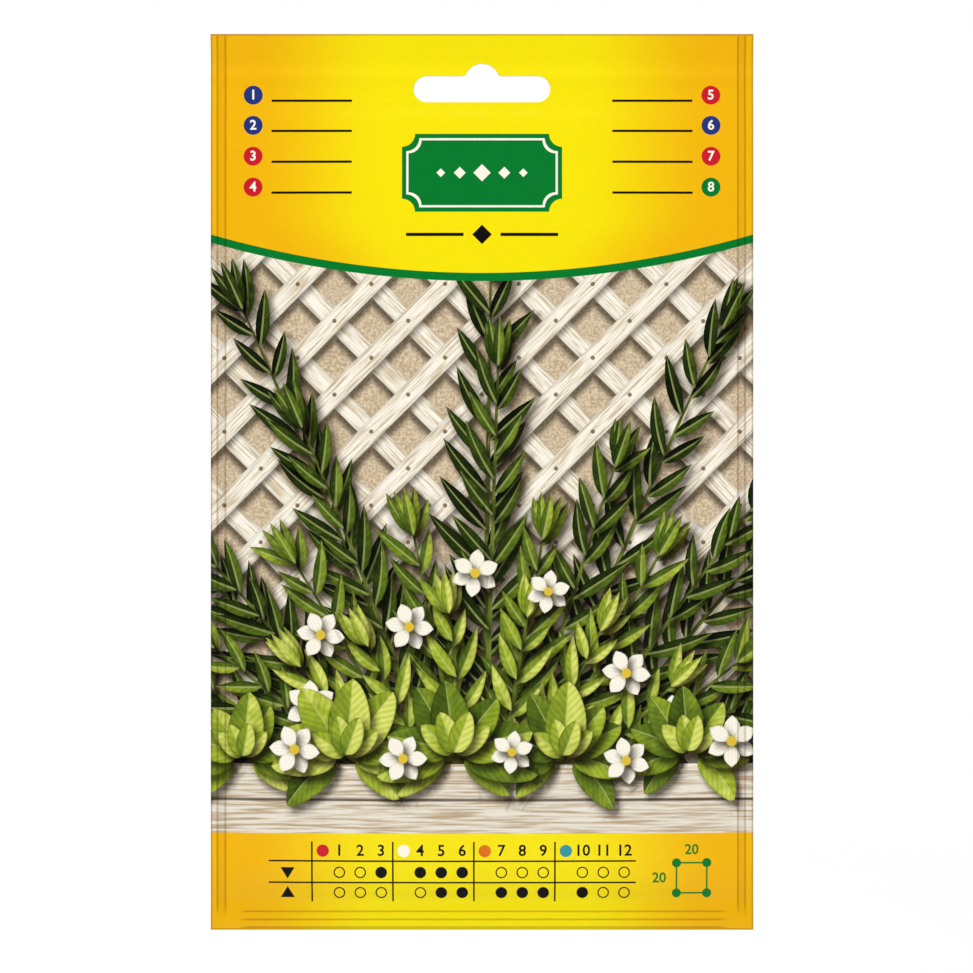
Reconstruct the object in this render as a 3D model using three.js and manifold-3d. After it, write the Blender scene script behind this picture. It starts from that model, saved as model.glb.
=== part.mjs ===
// A hanging seed packet, in millimetres: a flat pouch of two laminate webs, sealed to each other on all
// four sides, with a hang slot through its header and loose seeds in its lower end.
// The origin is the top of the slot's hump, where a display hook bears, midway between the webs.
// +Z is up, +X is to the right as seen from the front, and the printed front faces -Y.
import * as THREE from "three";
import { mergeVertices } from "three/addons/utils/BufferGeometryUtils.js";
import Module from "manifold-3d";

const wasm = await Module();
wasm.setup();

// The packet's outline.
const packetWidth = 100;
const packetHeight = 165;
const hookBelowTopEdge = 5.35;

// The laminate, drawn a little heavier than the real film, and the gap left between the welded webs.
const webThickness = 0.3;
const weldGap = 0.1;

// The seal margins round the pouch, and how far each web swells from the seal plane.
const sideSealWidth = 4;
const bottomSealWidth = 5.2;
const headerDepth = 14.2;
const frontSwell = 2.6;
const backSwell = 2.5;
const backFlat = 2.1;
const crossPower = 0.85;
const lengthPower = 0.75;
const fullestPoint = 0.55;

// The pressed seal lines, as distances from the nearest edge of the packet.
const leftLineInsets = [1.22, 2.69];
const rightLineInsets = [1.51, 2.8];
const bottomLineInsets = [0.37, 1.85, 3.32];
const bottomLinesLeftInset = 5.2;
const bottomLinesRightInset = 4.65;
const lineHalfWidth = 0.3;
const lineDepth = 0.15;

// The hang slot: a bar with round ends, and a hump that blends into the bar's upper side.
const slotWidth = 25.2;
const slotBarHeight = 4.8;
const slotBarTop = -2.3;
const humpRadius = 3.2;
const humpBlendRadius = 0.7;
const slotCutDepth = 8;

// The heap of seeds in the lower end of the pouch.
const seedCount = 150;
const seedLength = 2.7;
const seedWidth = 1.8;
const seedThickness = 1.2;
const heapHalfWidth = 30;
const heapHeight = 15;
const heapFloorClearance = 2.4;
const coreHalfWidth = 26;
const coreThickness = 1.3;
const coreInset = 0.9;
const coreSteps = 8;
const seedProud = 0.2;
const seedClearance = 0.3;
const seedUnevenness = 0.15;
const seedTilt = 0.25;
const heapSeed = 7;

// Spacing of the grid that the webs are made of, over the pouch.
const pouchColumns = 10;
const pouchRows = 16;
const rowGrading = 1.4;

// Places that follow from the sizes above.
const left = -packetWidth / 2;
const right = packetWidth / 2;
const top = hookBelowTopEdge;
const bottom = top - packetHeight;
const pouchHalfWidth = packetWidth / 2 - sideSealWidth;
const pouchBottom = bottom + bottomSealWidth;
const pouchTop = top - headerDepth;
const sideLines = [
  ...leftLineInsets.map((inset) => left + inset),
  ...rightLineInsets.map((inset) => right - inset),
];
const bottomLines = bottomLineInsets.map((inset) => bottom + inset);
const sideLinesEnd = bottomLines[2] - lineHalfWidth;
const bottomLinesLeft = left + bottomLinesLeftInset;
const bottomLinesRight = right - bottomLinesRightInset;

// How full the pouch is over a point of the sheet, from 0 at its seals to 1 at its fullest.
function fullness(x, z) {
  const across = x / pouchHalfWidth;
  const up = (z - pouchBottom) / (pouchTop - pouchBottom);
  if (Math.abs(across) >= 1 || up <= 0 || up >= 1) return 0;
  const cross = Math.pow(1 - across * across, crossPower);
  return cross * Math.pow(Math.sin(Math.PI * Math.pow(up, fullestPoint)), lengthPower);
}

// How far the sealing jaws press both webs back, along the fine lines in the seal margins.
function pressed(x, z) {
  const besideLine = (value) => (line) => Math.abs(value - line) < lineHalfWidth / 2;
  const onSideLine = sideLines.some(besideLine(x)) && z >= sideLinesEnd;
  const onBottomLine =
    bottomLines.some(besideLine(z)) && x >= bottomLinesLeft && x <= bottomLinesRight;
  return onSideLine || onBottomLine ? lineDepth : 0;
}

// The Y of each web's face on the seal plane's side. The back swell is cut off flat, where the packet
// rests when it lies down.
const frontInner = (x, z) => pressed(x, z) - weldGap / 2 - frontSwell * fullness(x, z);
const backInner = (x, z) =>
  pressed(x, z) + weldGap / 2 + Math.min(backSwell * fullness(x, z), backFlat);

// Grid lines over the packet: both sides and the middle of each pressed line, the seals' inner edges
// and an even spread over the pouch.
const linesRound = (line) => [line - lineHalfWidth, line, line + lineHalfWidth];
const ascending = (values) => [...values].sort((a, b) => a - b);
const columns = ascending([
  left,
  ...sideLines.flatMap(linesRound),
  -pouchHalfWidth,
  ...Array.from({ length: pouchColumns + 1 }, (_, i) =>
    THREE.MathUtils.lerp(bottomLinesLeft, bottomLinesRight, i / pouchColumns),
  ),
  pouchHalfWidth,
  right,
]);
const rows = ascending([
  bottom,
  ...bottomLines.flatMap(linesRound),
  ...Array.from({ length: pouchRows + 1 }, (_, i) =>
    THREE.MathUtils.lerp(pouchBottom, pouchTop, Math.pow(i / pouchRows, rowGrading)),
  ),
  THREE.MathUtils.lerp(pouchTop, top, 0.5),
  top,
]);

// A closed sheet over the grid, between a near face and a far face given as Y over x and z.
function sheetGeometry(nearFace, farFace) {
  const positions = [nearFace, farFace].flatMap((face) =>
    rows.flatMap((z) => columns.flatMap((x) => [x, face(x, z), z])),
  );
  const across = columns.length;
  const up = rows.length;
  const near = (i, j) => j * across + i;
  const far = (i, j) => across * up + near(i, j);
  const indices = [];
  const quad = (a, b, c, d) => indices.push(a, b, c, a, c, d);
  for (let j = 0; j < up - 1; j++) {
    for (let i = 0; i < across - 1; i++) {
      quad(near(i, j), near(i + 1, j), near(i + 1, j + 1), near(i, j + 1));
      quad(far(i, j), far(i, j + 1), far(i + 1, j + 1), far(i + 1, j));
    }
    quad(near(0, j), near(0, j + 1), far(0, j + 1), far(0, j));
    quad(near(across - 1, j), far(across - 1, j), far(across - 1, j + 1), near(across - 1, j + 1));
  }
  for (let i = 0; i < across - 1; i++) {
    quad(near(i, 0), far(i, 0), far(i + 1, 0), near(i + 1, 0));
    quad(near(i, up - 1), near(i + 1, up - 1), far(i + 1, up - 1), far(i, up - 1));
  }
  const geometry = new THREE.BufferGeometry();
  geometry.setAttribute("position", new THREE.Float32BufferAttribute(positions, 3));
  return geometry.setIndex(indices);
}

// A closed geometry as a solid that can be joined and cut.
function solidOf(geometry) {
  const bare = geometry.clone();
  bare.deleteAttribute("normal");
  bare.deleteAttribute("uv");
  const merged = mergeVertices(bare);
  return new wasm.Manifold(
    new wasm.Mesh({
      numProp: 3,
      vertProperties: merged.getAttribute("position").array,
      triVerts: new Uint32Array(merged.index.array),
    }),
  );
}

// A solid as a geometry, with one normal for each face.
function geometryOf(solid) {
  const { vertProperties, triVerts } = solid.getMesh();
  const geometry = new THREE.BufferGeometry();
  geometry.setAttribute("position", new THREE.Float32BufferAttribute(vertProperties, 3));
  geometry.setIndex([...triVerts]);
  const faceted = geometry.toNonIndexed();
  faceted.computeVertexNormals();
  return faceted;
}

// The hang slot's outline, counterclockwise from the bar's lower left, in x and z.
function slotOutline() {
  const endRadius = slotBarHeight / 2;
  const endX = slotWidth / 2 - endRadius;
  const barMiddle = slotBarTop - endRadius;
  const humpCentre = -humpRadius;
  const blendCentre = slotBarTop + humpBlendRadius;
  const blendX = Math.sqrt(
    (humpRadius + humpBlendRadius) ** 2 - (blendCentre - humpCentre) ** 2,
  );
  const blendAngle = Math.atan2(blendCentre - humpCentre, blendX);
  const outline = new THREE.Shape();
  outline.moveTo(-endX, barMiddle - endRadius);
  outline.absarc(endX, barMiddle, endRadius, -Math.PI / 2, Math.PI / 2, false);
  outline.absarc(blendX, blendCentre, humpBlendRadius, -Math.PI / 2, -Math.PI + blendAngle, true);
  outline.absarc(0, humpCentre, humpRadius, blendAngle, Math.PI - blendAngle, false);
  outline.absarc(-blendX, blendCentre, humpBlendRadius, -blendAngle, -Math.PI / 2, true);
  outline.absarc(-endX, barMiddle, endRadius, Math.PI / 2, Math.PI * 1.5, false);
  return outline;
}

// The slot as a prism that runs through both webs.
function slotCutter() {
  const prism = new THREE.ExtrudeGeometry(slotOutline(), {
    depth: slotCutDepth,
    bevelEnabled: false,
    curveSegments: 8,
  });
  prism.rotateX(Math.PI / 2);
  prism.translate(0, slotCutDepth / 2, 0);
  return solidOf(prism);
}

// A repeatable stream of numbers from 0 to 1.
function seededRandom(seed) {
  let state = seed;
  return () => {
    state = (state * 1664525 + 1013904223) % 4294967296;
    return state / 4294967296;
  };
}

// The top of the heap over a place across the pouch, above its floor: a low mound.
const heapTop = (x) => heapHeight * (1 - (x / heapHalfWidth) ** 2);

// The slim core that the seeds of the heap are sunk into.
function heapCore() {
  const floor = pouchBottom + heapFloorClearance;
  const mound = new THREE.Shape();
  mound.moveTo(-coreHalfWidth, floor + coreInset);
  mound.lineTo(coreHalfWidth, floor + coreInset);
  for (let step = 0; step <= coreSteps; step++) {
    const x = coreHalfWidth * (1 - (2 * step) / coreSteps);
    mound.lineTo(x, floor + heapTop(x) - coreInset);
  }
  const slab = new THREE.ExtrudeGeometry(mound, { depth: coreThickness, bevelEnabled: false });
  slab.rotateX(Math.PI / 2);
  slab.translate(0, coreThickness / 2, 0);
  return solidOf(slab);
}

// One angular seed, with its corners a little uneven, turned and set in its place.
function seedSolid(random, x, y, z) {
  const seed = new THREE.OctahedronGeometry(1, 0);
  seed.deleteAttribute("normal");
  seed.deleteAttribute("uv");
  const angular = mergeVertices(seed);
  const corners = angular.getAttribute("position");
  for (let i = 0; i < corners.count; i++) {
    const reach = (1 + seedUnevenness * (2 * random() - 1)) / 2;
    corners.setXYZ(
      i,
      corners.getX(i) * reach * seedLength,
      corners.getY(i) * reach * seedThickness,
      corners.getZ(i) * reach * seedWidth,
    );
  }
  angular.rotateX(seedTilt * (2 * random() - 1));
  angular.rotateY(Math.PI * random());
  angular.rotateZ(seedTilt * (2 * random() - 1));
  angular.translate(x, y, z);
  return solidOf(angular);
}

// The heap: seeds strewn over both faces and the rim of the core and joined to it as one body, each of
// them clear of the webs.
function seedHeap() {
  const random = seededRandom(heapSeed);
  const floor = pouchBottom + heapFloorClearance;
  let heap = heapCore();
  let placed = 0;
  while (placed < seedCount) {
    const x = heapHalfWidth * (2 * random() - 1);
    const z = floor + seedWidth / 2 + random() * Math.max(0, heapTop(x) - seedWidth);
    const swell = Math.min(frontSwell, backSwell) * fullness(x, z);
    const room = swell - seedThickness / 2 - seedClearance;
    if (heapTop(x) < seedWidth || room < seedClearance) continue;
    const side = placed % 2 === 0 ? 1 : -1;
    const y = side * Math.min(coreThickness / 2 + seedProud, room);
    heap = heap.add(seedSolid(random, x, y, z));
    placed++;
  }
  const [whole] = heap.decompose().sort((a, b) => b.volume() - a.volume());
  return whole;
}

// A named sub-part with a material of its own.
function subPart(name, solid, color, roughness) {
  const material = new THREE.MeshStandardMaterial({ color, roughness, metalness: 0 });
  const mesh = new THREE.Mesh(geometryOf(solid), material);
  mesh.name = name;
  return mesh;
}

const slot = slotCutter();
const frontWeb = solidOf(
  sheetGeometry((x, z) => frontInner(x, z) - webThickness, frontInner),
).subtract(slot);
const backWeb = solidOf(
  sheetGeometry(backInner, (x, z) => backInner(x, z) + webThickness),
).subtract(slot);

const group = new THREE.Group();
group.add(subPart("front_web", frontWeb, "#f4cf0c", 0.3));
group.add(subPart("back_web", backWeb, "#efe3b4", 0.35));
group.add(subPart("seeds", seedHeap(), "#1b1916", 0.8));

export default group;
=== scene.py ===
# A hanging seed packet of glossy printed film, filled with a little loose seed, in a white studio.
import math
import random

import bpy
import numpy as np
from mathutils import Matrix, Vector, kdtree
from mathutils.geometry import delaunay_2d_cdt


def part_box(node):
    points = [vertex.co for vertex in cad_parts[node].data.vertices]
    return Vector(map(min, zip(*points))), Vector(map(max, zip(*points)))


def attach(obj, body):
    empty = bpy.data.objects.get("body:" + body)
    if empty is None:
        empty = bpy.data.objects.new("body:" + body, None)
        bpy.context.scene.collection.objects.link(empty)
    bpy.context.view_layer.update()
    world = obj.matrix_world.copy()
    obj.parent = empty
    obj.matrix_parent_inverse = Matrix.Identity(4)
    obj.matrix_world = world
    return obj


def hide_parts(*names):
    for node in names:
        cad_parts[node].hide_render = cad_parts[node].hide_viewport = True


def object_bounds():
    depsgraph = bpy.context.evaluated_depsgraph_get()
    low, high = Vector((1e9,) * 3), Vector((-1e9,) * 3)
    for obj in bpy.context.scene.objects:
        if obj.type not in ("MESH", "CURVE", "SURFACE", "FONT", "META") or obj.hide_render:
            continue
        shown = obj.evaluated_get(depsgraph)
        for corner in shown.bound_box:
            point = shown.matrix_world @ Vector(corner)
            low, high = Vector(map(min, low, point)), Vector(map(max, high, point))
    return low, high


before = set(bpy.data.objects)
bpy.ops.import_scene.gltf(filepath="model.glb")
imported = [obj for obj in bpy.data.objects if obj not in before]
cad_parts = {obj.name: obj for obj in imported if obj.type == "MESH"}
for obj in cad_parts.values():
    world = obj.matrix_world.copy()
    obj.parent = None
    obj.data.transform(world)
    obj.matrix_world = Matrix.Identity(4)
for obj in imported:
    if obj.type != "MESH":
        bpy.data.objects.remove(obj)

cad_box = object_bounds()

# The camera looks straight at the packet's front, as the packet was shot. Its distance gives the
# packet the share of the picture that it has in the photograph. It stands a little to the right of
# the packet's middle and a little below it.
MM = 0.001
PHOTO_PIXELS = 973
PACKET_PIXELS = 542.4
PIXELS_LEFT_OF_CENTRE = 4.45
PIXELS_ABOVE_CENTRE = 4.5
SENSOR_MM = 36
LENS_MM = 100

packet_width = cad_box[1].x - cad_box[0].x
packet_middle = (cad_box[0] + cad_box[1]) / 2
pixel = packet_width / PACKET_PIXELS
camera_distance = PHOTO_PIXELS * pixel * LENS_MM / SENSOR_MM

camera_data = bpy.data.cameras.new("packshot_camera")
camera_data.sensor_width = SENSOR_MM
camera_data.lens = LENS_MM
camera_data.clip_start = 0.01
camera = bpy.data.objects.new("packshot_camera", camera_data)
camera.location = (
    packet_middle.x + PIXELS_LEFT_OF_CENTRE * pixel,
    -camera_distance,
    packet_middle.z - PIXELS_ABOVE_CENTRE * pixel,
)
camera.rotation_euler = (math.radians(90), 0, 0)
bpy.context.collection.objects.link(camera)
bpy.context.scene.camera = camera
bpy.context.scene.view_settings.view_transform = "Standard"


# The studio is a white surround that is dark only in reflections, so that the gloss of the film shows
# the lamps and the printed colours stay deep. A white floor lies a little below the hanging packet
# and melts into the surround.
SURROUND_LIGHT = 0.42
SURROUND_IN_GLOSS = 0.06
SURROUND_TO_EYE = 1.0
FLOOR_BELOW_PACKET = 70 * MM
FLOOR_RADIUS = 1.2
FLOOR_SIDES = 96
FLOOR_SOLID_RADIUS = 0.30
FLOOR_FADED_RADIUS = 0.75
FLOOR_WHITE = 0.93
FLOOR_IN_GLOSS = 0.18


def add_node(tree, kind, inputs=None, **settings):
    """A new node. Each of its inputs is given as a value or as another node's socket."""
    node = tree.nodes.new(kind)
    for name, value in settings.items():
        setattr(node, name, value)
    for socket, value in (inputs or {}).items():
        if isinstance(value, bpy.types.NodeSocket):
            tree.links.new(value, node.inputs[socket])
        else:
            node.inputs[socket].default_value = value
    return node


def soft_step(tree, value, low, high, to_low=0.0, to_high=1.0):
    """A Map Range node with soft ends."""
    span = {"Value": value, "From Min": low, "From Max": high, "To Min": to_low, "To Max": to_high}
    return add_node(tree, "ShaderNodeMapRange", span, interpolation_type="SMOOTHSTEP").outputs["Result"]


def blend_numbers(tree, share, first, second):
    mixed = {"Factor": share, "A": first, "B": second}
    return add_node(tree, "ShaderNodeMix", mixed, data_type="FLOAT").outputs["Result"]


def blend_colours(tree, share, first, second, kind="MIX"):
    mixed = {"Factor": share, 6: first, 7: second}
    return add_node(tree, "ShaderNodeMix", mixed, data_type="RGBA", blend_type=kind).outputs[2]


def vector_length(tree, vector):
    return add_node(tree, "ShaderNodeVectorMath", {0: vector}, operation="LENGTH").outputs["Value"]


def empty_tree(owner):
    """The node tree of a world or a material, cleared for new nodes."""
    owner.use_nodes = True
    owner.node_tree.nodes.clear()
    return owner.node_tree


world = bpy.data.worlds.new("studio_surround")
bpy.context.scene.world = world
world.cycles.sampling_method = "NONE"
tree = empty_tree(world)
ray = add_node(tree, "ShaderNodeLightPath").outputs
lit = blend_numbers(tree, ray["Is Glossy Ray"], SURROUND_LIGHT, SURROUND_IN_GLOSS)
seen = blend_numbers(tree, ray["Is Camera Ray"], lit, SURROUND_TO_EYE)
background = add_node(tree, "ShaderNodeBackground", {"Color": (1, 1, 1, 1), "Strength": seen})
add_node(tree, "ShaderNodeOutputWorld", {"Surface": background.outputs["Background"]})


def soft_lamp(name, place, size, watts):
    """A large softbox that looks at the middle of the packet."""
    data = bpy.data.lights.new(name, "AREA")
    data.shape = "RECTANGLE"
    data.size, data.size_y = size
    data.energy = watts
    lamp = bpy.data.objects.new(name, data)
    lamp.location = place
    lamp.rotation_euler = (packet_middle - Vector(place)).to_track_quat("-Z", "Y").to_euler()
    bpy.context.collection.objects.link(lamp)


soft_lamp("front_softbox", (-0.12, -0.85, 0.78), (0.9, 0.5), 10.4)
soft_lamp("back_softbox", (-0.5, 0.95, 0.75), (0.8, 0.5), 9.2)
soft_lamp("side_softbox", (1.15, -0.1, 0.35), (0.35, 0.8), 2.2)

floor_mesh = bpy.data.meshes.new("studio_floor")
floor_z = cad_box[0].z - FLOOR_BELOW_PACKET
ring = [2 * math.pi * i / FLOOR_SIDES for i in range(FLOOR_SIDES)]
floor_mesh.from_pydata(
    [(FLOOR_RADIUS * math.cos(a), FLOOR_RADIUS * math.sin(a), floor_z) for a in ring],
    [],
    [list(range(FLOOR_SIDES))],
)
floor = bpy.data.objects.new("studio_floor", floor_mesh)
bpy.context.collection.objects.link(floor)

floor_material = bpy.data.materials.new("studio_floor")
tree = empty_tree(floor_material)
ray = add_node(tree, "ShaderNodeLightPath").outputs
seen = blend_colours(tree, ray["Is Glossy Ray"], (*[FLOOR_WHITE] * 3, 1), (*[FLOOR_IN_GLOSS] * 3, 1))
white = add_node(tree, "ShaderNodeBsdfDiffuse", {"Color": seen})
gone = add_node(tree, "ShaderNodeBsdfTransparent")
place = add_node(tree, "ShaderNodeNewGeometry").outputs["Position"]
flat = add_node(tree, "ShaderNodeVectorMath", {0: place, 1: (1, 1, 0)}, operation="MULTIPLY")
radius = vector_length(tree, flat.outputs["Vector"])
faded = soft_step(tree, radius, FLOOR_SOLID_RADIUS, FLOOR_FADED_RADIUS)
blend = add_node(tree, "ShaderNodeMixShader", {0: faded, 1: white.outputs[0], 2: gone.outputs[0]})
add_node(tree, "ShaderNodeOutputMaterial", {"Surface": blend.outputs["Shader"]})
floor_mesh.materials.append(floor_material)


# The front web is the printed face of the packet: a thin film laminate, welded to the back web along
# both sides, the foot and the header, and swelling softly between the welds over the seeds. It is
# drawn flat in millimetres, cut into small triangles along every edge of its print, and then bent
# to the packet's form.
FILM_MM = 0.16
SEAM_MM = 0.03
SIDE_SEAL_MM = 4.0
FOOT_SEAL_MM = 5.2
HEADER_MM = 14.2
FRONT_SWELL_MM = 2.6
CROSS_POWER = 0.85
LENGTH_POWER = 0.75
FULLEST_POINT = 0.55
FOOT_EASE_MM = 1.6

front_low, front_high = (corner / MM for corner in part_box("front_web"))
left, right = front_low.x, front_high.x
bottom, top = front_low.z, front_high.z
pouch_half_width = (right - left) / 2 - SIDE_SEAL_MM
pouch_bottom = bottom + FOOT_SEAL_MM
pouch_top = top - HEADER_MM

# The sealing jaws leave two fine lines down each side and three along the foot.
SIDE_LINES_MM = (left + 1.22, left + 2.69, right - 1.51, right - 2.80)
FOOT_LINES_MM = (bottom + 0.46, bottom + 1.90, bottom + 3.37)
SIDE_LINES_END_MM = bottom + 2.8
SIDE_LINES_FOOT_MM = bottom + 2.2
FOOT_LINES_SPAN_MM = (left + 5.2, right - 4.65)
LINE_HALF_WIDTH_MM = 0.28
LINE_DEPTH_MM = 0.13
FOOT_LINE_SHARE = 0.4
LINE_FADE_MM = 1.6
SHADE_BETWEEN_LINES = 0.22

# From its top edge down to where the lean ends, the sealed film goes back. Below that, and again at
# the foot, are soft folds: each has a slope, and the levels between which the film follows it.
HEADER_LEAN = 0.15
LEAN_ENDS_MM = -0.4
SEALED_FOLDS = (
    (0.115, -0.4, -2.7),
    (-0.19, -2.9, -4.1),
    (0.045, -4.4, -11.0),
    (-0.075, bottom + 2.2, bottom + 5.0),
)
FOLD_CRISPNESS = 4.0
HEADER_SET_BACK_MM = 0.48
HEADER_CREASES_MM = (-0.7, -1.8, -2.9, -4.1)

# Slack in the film: puckers along the side seals and the foot, which die away over their reach, and
# one broad wave. Their pitches, in film_waves, are in radians for each millimetre.
SIDE_PUCKER_MM, SIDE_PUCKER_REACH_MM = 0.07, 7
FOOT_PUCKER_MM, FOOT_PUCKER_REACH_MM = 0.09, 8
BROAD_WAVE_MM = 0.08


def smooth(low, high, value):
    """From 0 at low to 1 at high, with soft ends."""
    share = np.clip((value - low) / (high - low), 0, 1)
    return share * share * (3 - 2 * share)


def fullness(x, z):
    """How full the pouch is over a point, from 0 at its seals to 1 at its fullest."""
    across = np.clip(x / pouch_half_width, -1, 1)
    up = np.clip((z - pouch_bottom) / (pouch_top - pouch_bottom), 0, 1)
    along = np.maximum(np.sin(math.pi * up**FULLEST_POINT), 0) ** LENGTH_POWER
    eased = 1 - np.exp(-np.maximum(z - pouch_bottom, 0) / FOOT_EASE_MM)
    return (1 - across**2) ** CROSS_POWER * along * eased


def line_profile(value, line):
    """How deep a pressed line is at a value across it, from 0 to 1."""
    beside = np.clip(np.abs(value - line) / LINE_HALF_WIDTH_MM, 0, 1)
    return (1 + np.cos(math.pi * beside)) / 2


def side_line_ends(z):
    return smooth(SIDE_LINES_END_MM, SIDE_LINES_END_MM + LINE_FADE_MM, z)


def pressed(x, z, foot_share=1.0):
    """How deep the jaws' fine lines are over a point, from 0 to 1. The foot's lines may be fainter."""
    start, stop = FOOT_LINES_SPAN_MM
    foot_ends = smooth(start, start + LINE_FADE_MM, x) * smooth(stop, stop - LINE_FADE_MM, x)
    sides = [side_line_ends(z) * line_profile(x, line) for line in SIDE_LINES_MM]
    foot = [foot_share * foot_ends * line_profile(z, line) for line in FOOT_LINES_MM]
    return np.maximum.reduce(sides + foot)


def weld_shade(x, z):
    """How much painted shade darkens the print: fully in the jaws' fine grooves, where it stands in
    for their shade, and a little between the two that run down each side."""
    outer_left, inner_left, outer_right, inner_right = SIDE_LINES_MM
    between = ((x > outer_left) & (x < inner_left)) | ((x > inner_right) & (x < outer_right))
    return np.maximum(pressed(x, z), SHADE_BETWEEN_LINES * between * side_line_ends(z))


def sealed_fold(z):
    """How far the film stands forward of the seal plane, from its lean and its folds."""
    def below(level):
        return np.logaddexp(0, FOLD_CRISPNESS * (level - z)) / FOLD_CRISPNESS

    lean = HEADER_LEAN * (z - LEAN_ENDS_MM + below(LEAN_ENDS_MM))
    folds = sum(slope * (below(start) - below(stop)) for slope, start, stop in SEALED_FOLDS)
    return lean + folds - HEADER_SET_BACK_MM


def film_waves(x, z, phase):
    """How far the film's slack stands out over a point. It dies away towards the seals."""
    from_side = pouch_half_width - np.abs(x)
    from_foot = z - pouch_bottom
    inside = smooth(0, 3, from_side) * smooth(0, 3, from_foot) * smooth(0, 6, pouch_top - z)
    side = np.sin(z * 0.62 + phase + 0.9 * np.sin(z * 0.23 + phase))
    foot = np.sin(x * 0.55 + 2 * phase + np.sin(x * 0.19))
    broad = np.sin(x * 0.07 + z * 0.045 + phase) * np.sin(z * 0.06 - x * 0.03 + 2 * phase)
    side *= SIDE_PUCKER_MM * np.exp(-from_side / SIDE_PUCKER_REACH_MM)
    foot *= FOOT_PUCKER_MM * np.exp(-from_foot / FOOT_PUCKER_REACH_MM)
    return inside * (side + foot + BROAD_WAVE_MM * broad)


def front_face(x, z):
    """The Y of the front web's printed face, in millimetres."""
    flat = -(SEAM_MM / 2 + FILM_MM) + LINE_DEPTH_MM * pressed(x, z, FOOT_LINE_SHARE)
    return flat - sealed_fold(z) - FRONT_SWELL_MM * fullness(x, z) - film_waves(x, z, 0.4)


# The hang slot is punched through both webs: a bar with round ends and a hump that blends into it.
SLOT_WIDTH_MM = 25.2
SLOT_BAR_MM = 4.8
SLOT_BAR_TOP_MM = -2.3
HUMP_RADIUS_MM = 3.2
HUMP_BLEND_MM = 0.7


def arc(centre, radius, start, stop, steps):
    """Points along an arc, with its angles in radians."""
    angles = [start + (stop - start) * i / steps for i in range(steps + 1)]
    return [(centre[0] + radius * math.cos(a), centre[1] + radius * math.sin(a)) for a in angles]


def slot_outline():
    end = SLOT_BAR_MM / 2
    end_x = SLOT_WIDTH_MM / 2 - end
    middle = SLOT_BAR_TOP_MM - end
    blend_z = SLOT_BAR_TOP_MM + HUMP_BLEND_MM
    rise = blend_z + HUMP_RADIUS_MM
    blend_x = math.sqrt((HUMP_RADIUS_MM + HUMP_BLEND_MM) ** 2 - rise**2)
    lean = math.atan2(rise, blend_x)
    quarter = math.pi / 2
    return [
        *arc((end_x, middle), end, -quarter, quarter, 16),
        *arc((blend_x, blend_z), HUMP_BLEND_MM, -quarter, -math.pi + lean, 6),
        *arc((0, -HUMP_RADIUS_MM), HUMP_RADIUS_MM, lean, math.pi - lean, 20)[1:-1],
        *arc((-blend_x, blend_z), HUMP_BLEND_MM, -lean, -quarter, 6),
        *arc((-end_x, middle), end, quarter, 3 * quarter, 16),
    ]


def stepped(points, step, closed=True):
    """The same line with no stretch longer than step, so that it can bend with the film."""
    ends = points[1:] + points[:1] if closed else points[1:]
    walked = []
    for (ax, az), (bx, bz) in zip(points, ends):
        count = max(1, math.ceil(math.hypot(bx - ax, bz - az) / step))
        walked += [(ax + (bx - ax) * i / count, az + (bz - az) * i / count) for i in range(count)]
    return walked if closed else walked + points[-1:]


def relief_lines():
    """Lines for the triangles to follow, so that the pressed lines and folds are crisp geometry."""
    def beside(lines):
        shares = (-1, -0.5, 0, 0.5, 1)
        return [line + LINE_HALF_WIDTH_MM * share for line in lines for share in shares]

    start, stop = FOOT_LINES_SPAN_MM
    lines = [[(x, SIDE_LINES_FOOT_MM), (x, top)] for x in beside(SIDE_LINES_MM)]
    lines += [[(start, z), (stop, z)] for z in beside(FOOT_LINES_MM)]
    lines += [[(left, z), (right, z)] for z in (pouch_bottom, pouch_top, *HEADER_CREASES_MM)]
    lines += [[(x, bottom), (x, top)] for x in (-pouch_half_width, pouch_half_width)]
    return lines


GRID_CLEARANCE_MM = 0.4
INNER_GRID_MM = 3.0
INNER_MARGIN_MM = 0.1
INNER_GRID_BOX_MM = (left + 4.5, bottom + 5.5), (right - 4.5, top - 1)
NORMAL_STEP_MM = 0.05


def cut_flat(shapes, grid):
    """Cuts the flat packet into triangles along the shapes' edges. Returns the flat points, the
    triangles and, for each triangle, the number of the last shape that covers it, or -1."""
    points, edges, faces = [], [], []

    def add_line(line, closed):
        first = len(points)
        points.extend(line)
        edges.extend((first + i, first + i + 1) for i in range(len(line) - 1))
        if closed:
            edges.append((first + len(line) - 1, first))
            faces.append(list(range(first, first + len(line))))

    add_line(stepped([(left, bottom), (right, bottom), (right, top), (left, top)], 1.5), True)
    add_line(stepped(slot_outline(), 0.8), True)
    for printed in shapes:
        add_line(printed["outline"], True)
    for line in relief_lines():
        add_line(stepped(line, 1.6, closed=False), False)
    taken = kdtree.KDTree(len(points))
    for i, (x, z) in enumerate(points):
        taken.insert((x, z, 0), i)
    taken.balance()
    points.extend(p for p in grid if taken.find((*p, 0))[2] > GRID_CLEARANCE_MM)
    made = delaunay_2d_cdt([Vector(p) for p in points], edges, faces, 0, 1e-5, True)
    flat_points, _, triangles, _, _, covering = made
    kept = [(t, c) for t, c in zip(triangles, covering) if 0 in c and 1 not in c]
    return flat_points, [t for t, _ in kept], [max(c) - 2 for _, c in kept]


def grid_of(spacing, low, high):
    """Staggered points that fill a box of the flat packet."""
    found = []
    z, odd = low[1] + spacing / 2, False
    while z < high[1]:
        x = low[0] + spacing * (1.0 if odd else 0.5)
        while x < high[0] - 0.2 * spacing:
            found.append((x, z))
            x += spacing
        z, odd = z + spacing * 0.87, not odd
    return found


def drop_unused(triangles):
    """The points that the triangles use, and the triangles with those points numbered anew."""
    used = sorted({i for t in triangles for i in t})
    number = {old: new for new, old in enumerate(used)}
    return used, [[number[i] for i in t] for t in triangles]


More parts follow.
